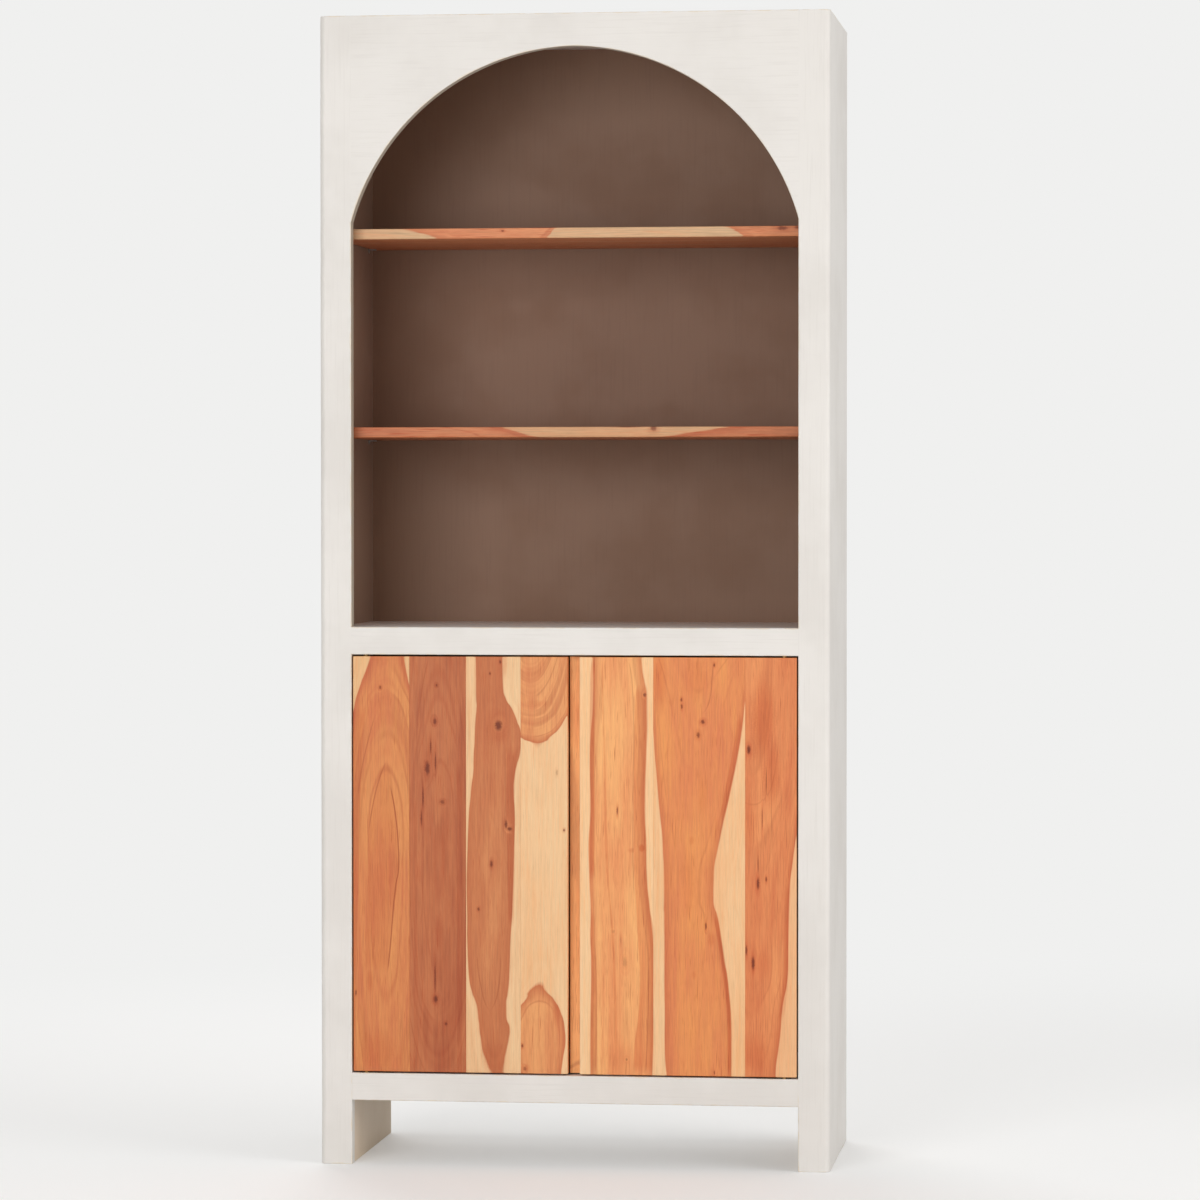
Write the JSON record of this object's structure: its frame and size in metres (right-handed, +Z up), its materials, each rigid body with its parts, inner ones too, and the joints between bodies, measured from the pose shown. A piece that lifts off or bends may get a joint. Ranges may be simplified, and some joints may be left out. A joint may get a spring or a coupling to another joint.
{
  "type": "arched bookcase with cupboard",
  "caption": "Tall painted wooden bookcase: an arched open niche with natural wood shelves above a cupboard with hinged natural wood doors, on plank feet.",
  "frame": {"origin": "centre of the footprint, on the floor", "axes": "+Z up, the doors and the open niche face -Y, +X to the right as seen from the front"},
  "size_m": [0.89, 0.4, 2],
  "materials": {
    "carcass_paint": "thin warm off-white paint over wood, faint brush marks, worn edges",
    "lining_paint": "matt taupe brown paint",
    "door_wood": "waxed solid wood, orange heartwood with pale sapwood and knots",
    "inner_wood": "plain unfinished pale wood",
    "brass": "satin brass",
    "steel": "satin zinc plated steel",
    "catch_plastic": "ivory moulded plastic",
    "magnet": "dark ferrite block"
  },
  "bodies": {
    "carcass": {"side_panel_left": "carcass_paint", "side_panel_right": "carcass_paint", "stile_left": "carcass_paint", "stile_right": "carcass_paint", "arch_header": "carcass_paint", "mid_rail": "carcass_paint", "bottom_rail": "carcass_paint", "top_panel": "carcass_paint", "niche_floor_board": "carcass_paint", "cupboard_floor_board": "carcass_paint", "back_panel": "lining_paint", "foot_block_left": "carcass_paint", "foot_block_right": "carcass_paint", "stile_dowels": "inner_wood", "foot_dowels": "inner_wood", "back_panel_nails": "steel", "upper_shelf": "door_wood", "lower_shelf": "door_wood", "cupboard_shelf": "inner_wood", "upper_shelf_pins": "steel", "lower_shelf_pins": "steel", "cupboard_shelf_pins": "steel", "left_frame_leaves": "brass", "right_frame_leaves": "brass", "left_pivot_washers": "brass", "right_pivot_washers": "brass", "frame_leaf_screws": "brass", "catch_bodies": "catch_plastic", "catch_magnets": "magnet", "catch_screws": "brass"},
    "left_door": {"left_door_board_1": "door_wood", "left_door_board_2": "door_wood", "left_door_board_3": "door_wood", "left_door_board_4": "door_wood", "left_door_upper_batten": "inner_wood", "left_door_lower_batten": "inner_wood", "left_batten_screws": "brass", "left_door_leaves": "brass", "left_pivot_pins": "steel", "left_leaf_screws": "brass", "left_strike_plate": "steel", "left_strike_screw": "steel"},
    "right_door": {"right_door_board_1": "door_wood", "right_door_board_2": "door_wood", "right_door_board_3": "door_wood", "right_door_upper_batten": "inner_wood", "right_door_lower_batten": "inner_wood", "right_batten_screws": "brass", "meeting_strip": "door_wood", "meeting_strip_screws": "brass", "right_door_leaves": "brass", "right_pivot_pins": "steel", "right_leaf_screws": "brass", "right_strike_plate": "steel", "right_strike_screw": "steel"}
  },
  "joints": [
    {"name": "left_door_hinge", "type": "hinge", "parent": "carcass", "child": "left_door", "pos_m": [-0.3655, -0.192, 0.525], "axis": [0, 0, -1], "range_deg": [0, 110]},
    {"name": "right_door_hinge", "type": "hinge", "parent": "carcass", "child": "right_door", "pos_m": [0.3655, -0.192, 0.525], "axis": [0, 0, 1], "range_deg": [0, 110]}
  ]
}
